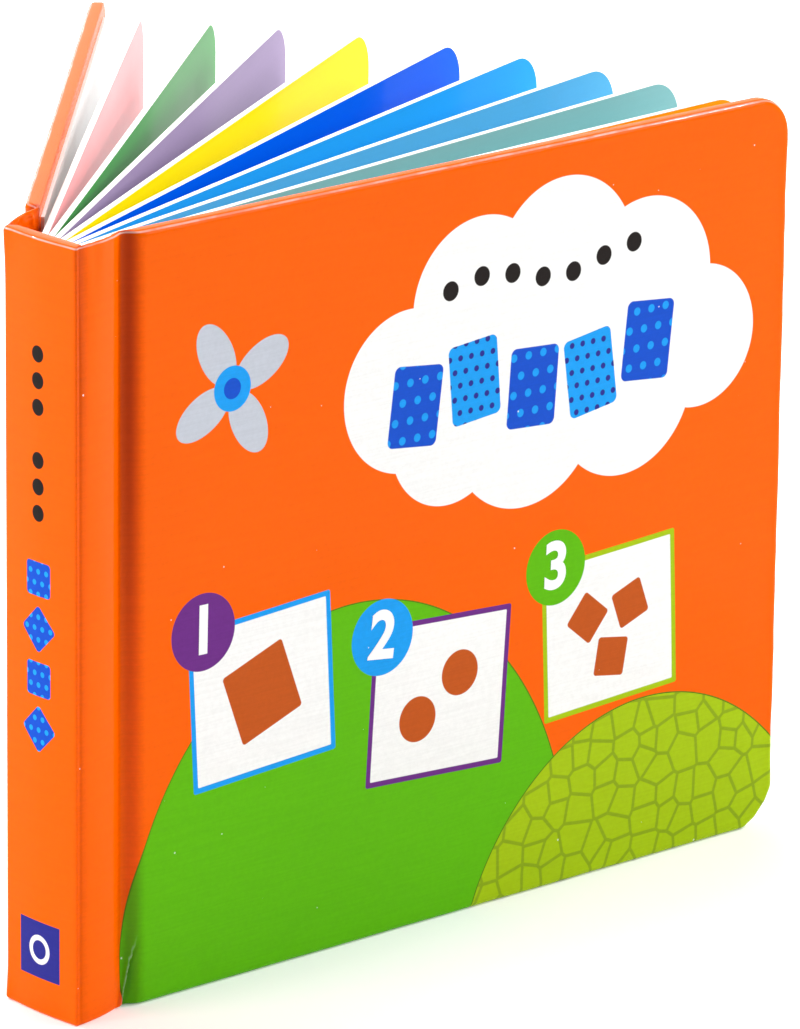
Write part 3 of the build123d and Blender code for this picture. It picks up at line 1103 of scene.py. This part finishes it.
def numeral(number):
    """White figure in a tile's badge: text made a mesh, leant a little and laid on the cover as
    origin + along x run - (its own depth + lift) x the cover's inward direction."""
    x, z, tilt = TILE_SPOTS[number - 1]
    curve = bpy.data.curves.new(f"figure_{number}", "FONT")
    curve.body = str(number)
    curve.align_x = "CENTER"
    curve.align_y = "CENTER"
    curve.size = FIGURE_SIZE
    curve.offset = FIGURE_WEIGHT
    curve.extrude = FIGURE_HALF_THICKNESS
    draft = add_object("draft", curve)
    graph = bpy.context.evaluated_depsgraph_get()
    mesh = bpy.data.meshes.new_from_object(draft.evaluated_get(graph))
    bpy.data.objects.remove(draft)
    flat = np.empty(len(mesh.vertices) * 3)
    mesh.vertices.foreach_get("co", flat)
    flat = flat.reshape(-1, 3)
    lean = math.radians(tilt - 4)
    along = x + BADGE_OFFSET[0] + flat[:, 0] * math.cos(lean) - flat[:, 1] * math.sin(lean)
    up = z + BADGE_OFFSET[1] + flat[:, 0] * math.sin(lean) + flat[:, 1] * math.cos(lean)
    angle = COVER_ANGLE["front"]
    plan = cover_point("front", 0, 0) + along[:, None] * heading(angle)
    plan = plan - (flat[:, 2:] + FIGURE_LIFT) * inward(angle, "front")
    mesh.vertices.foreach_set("co", (np.concatenate([plan, up[:, None]], 1) * MM).ravel())
    mesh.name = f"figure_{number}"
    piece = finish_mesh(f"figure_{number}", mesh)
    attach(piece, "front_cover")
    return piece


# ---- stage
FLOOR_HALF = 4.0
WORLD_LIGHT = 0.15
# Lamps: name, place, aim, size in metres and watts.
LIGHTS = (
    ("Key light", (0.85, -1.05, 0.80), (0.09, -0.08, 0.09), 0.6, 8.8),
    ("Page light", (1.30, -0.30, 0.95), (0.0, 0.0, 0.17), 0.6, 9.0),
    ("Spine light", (-1.25, 0.22, 0.45), (-0.10, -0.06, 0.09), 0.45, 6.4),
    ("Top light", (0.10, 0.45, 1.40), (0.0, 0.0, 0.1), 0.7, 9.0),
    ("Back card", (1.00, 1.05, 0.50), (0.0, 0.0, 0.17), 1.1, 7.5),
    ("Head edge light", (1.04, -0.50, 1.22), (0.0, -0.08, 0.17), 0.04, 8.0),
    ("Spine edge light", (-0.50, 1.05, 1.10), (-0.10, -0.07, 0.17), 0.04, 18.0),
)
CAMERA_PLACE = (-1.1397, -1.2927, 0.6223)
CAMERA_AZIMUTH = 43.014
CAMERA_PITCH = -17.549
CAMERA_ROLL = 0.688
CAMERA_LENS = 270.7


def pale_floor():
    """Matt white floor that glows a little, so that it stays pale under the book's shade."""
    floor = bpy.data.meshes.new("floor")
    corners = [(x * FLOOR_HALF, y * FLOOR_HALF, 0) for x, y in ((-1, -1), (1, -1), (1, 1), (-1, 1))]
    floor.from_pydata(corners, [], [(0, 1, 2, 3)])
    slab = add_object("floor", floor)
    material, _, finish = new_material("Pale floor")
    finish["Base Color"].default_value = (0.94, 0.94, 0.94, 1)
    finish["Roughness"].default_value = 0.9
    finish["Emission Color"].default_value = PAPER_WHITE
    finish["Emission Strength"].default_value = 0.15
    floor.materials.append(material)


def white_studio():
    """White surroundings that light the book only faintly."""
    world = bpy.data.worlds.new("White studio")
    world.use_nodes = True
    n = Nodes(world.node_tree)
    background = world.node_tree.nodes["Background"].inputs
    background["Color"].default_value = PAPER_WHITE
    seen = n.add("ShaderNodeLightPath").outputs["Is Camera Ray"]
    n.put(background["Strength"], n.math("MULTIPLY_ADD", seen, 0.9, WORLD_LIGHT))
    bpy.context.scene.world = world


def facing(at, aim):
    """Place and turn that point a lamp at its aim, with its X axis level."""
    away = np.array(at, float) - np.array(aim, float)
    z = away / np.linalg.norm(away)
    x = np.cross((0, 0, 1.0), z)
    x /= np.linalg.norm(x)
    y = np.cross(z, x)
    rows = [(x[i], y[i], z[i], at[i]) for i in range(3)]
    return Matrix(rows + [(0, 0, 0, 1)])


def stage():
    """Pale floor, white surroundings and soft lights."""
    pale_floor()
    white_studio()
    for name, at, aim, width, power in LIGHTS:
        lamp = bpy.data.lights.new(name, "AREA")
        lamp.size = width
        lamp.energy = power
        add_object(name, lamp).matrix_world = facing(at, aim)


def camera():
    """Long lens at the book's left front, looking down a little."""
    data = bpy.data.cameras.new("Camera")
    data.sensor_width = 36.0
    data.lens = CAMERA_LENS
    data.clip_end = 20.0
    eye = add_object("Camera", data)
    turn = Matrix.Rotation(math.radians(-CAMERA_AZIMUTH), 4, "Z")
    tip = Matrix.Rotation(math.radians(90 + CAMERA_PITCH), 4, "X")
    roll = Matrix.Rotation(math.radians(CAMERA_ROLL), 4, "Z")
    eye.matrix_world = Matrix.Translation(CAMERA_PLACE) @ turn @ tip @ roll
    bpy.context.scene.camera = eye
    bpy.context.scene.view_settings.view_transform = "Standard"


# ---- the book
def paint(piece, material):
    """The piece's only material."""
    piece.data.materials.clear()
    piece.data.materials.append(material)


def main():
    """Stage, case skins, leaves, gutter, carried-over board and end plies, and figures."""
    camera()
    stage()
    front = case_skin("front")
    back = case_skin("back")
    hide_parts("spine_wrap")
    paint(front, front_print())
    paint(back, back_print())
    for number in range(len(LEAF_ANGLES)):
        paint(leaf_piece(number), leaf_print(number))
    paint(gutter_piece(), board_material("Cut board", "cut board", 900.0))
    paint(frame["nodes"]["spine_board"], board_material("Grey board", "greyboard", 700.0))
    end_paper = end_paper_material()
    for node in ("front_pastedown", "back_pastedown"):
        paint(frame["nodes"][node], end_paper)
    for number in (1, 2, 3):
        paint(numeral(number), end_paper)


main()
